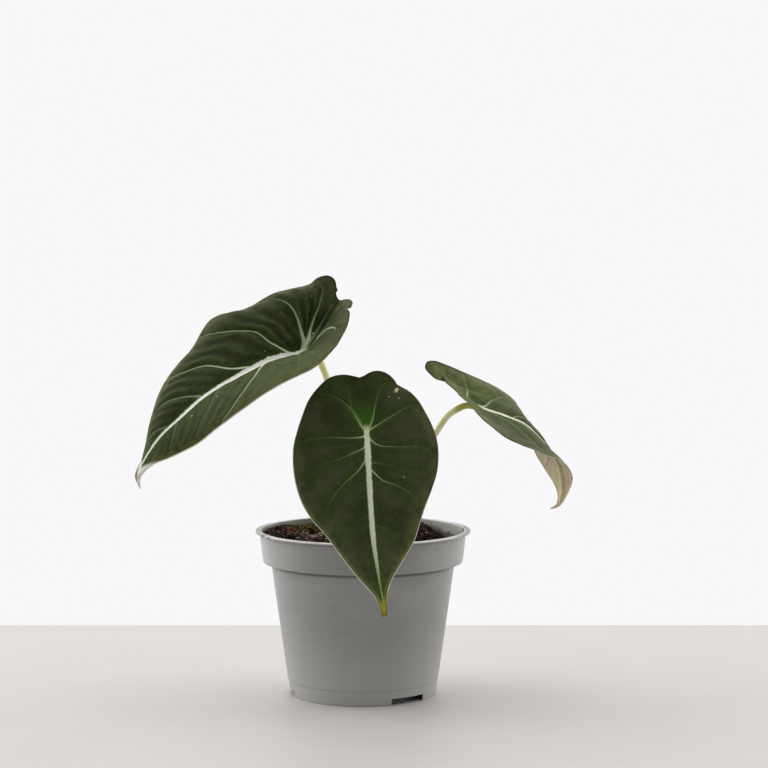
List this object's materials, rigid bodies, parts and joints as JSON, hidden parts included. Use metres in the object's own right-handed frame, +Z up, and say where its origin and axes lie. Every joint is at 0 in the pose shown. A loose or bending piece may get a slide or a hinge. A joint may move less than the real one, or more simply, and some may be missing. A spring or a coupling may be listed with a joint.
{
  "type": "potted velvet-leaved alocasia",
  "caption": "Young velvet-leaved alocasia with arrow-shaped, pale-veined dark leaves on arching stalks, growing in a round plastic nursery pot.",
  "frame": {"origin": "centre of the pot's flat floor, on the surface that the pot stands on", "axes": "+Z up along the pot's axis, -Y towards the plant's front, where the drooping leaf hangs over the pot's lip"},
  "size_m": [0.2384, 0.1401, 0.2331],
  "materials": {
    "grey_plastic": "satin moulded polypropylene, mid grey",
    "potting_mix": "rough dark peat and bark",
    "crown_skin": "dry papery scales",
    "stalk_skin": "smooth pale yellow-green skin",
    "leaf_skin": "velvety, very dark green with pale veins"
  },
  "bodies": {
    "root": {"pot": "grey_plastic", "potting_mix": "potting_mix", "crown": "crown_skin", "petiole_left": "stalk_skin", "leaf_left": "leaf_skin", "petiole_front": "stalk_skin", "leaf_front": "leaf_skin", "petiole_right": "stalk_skin", "leaf_right": "leaf_skin"}
  },
  "joints": []
}
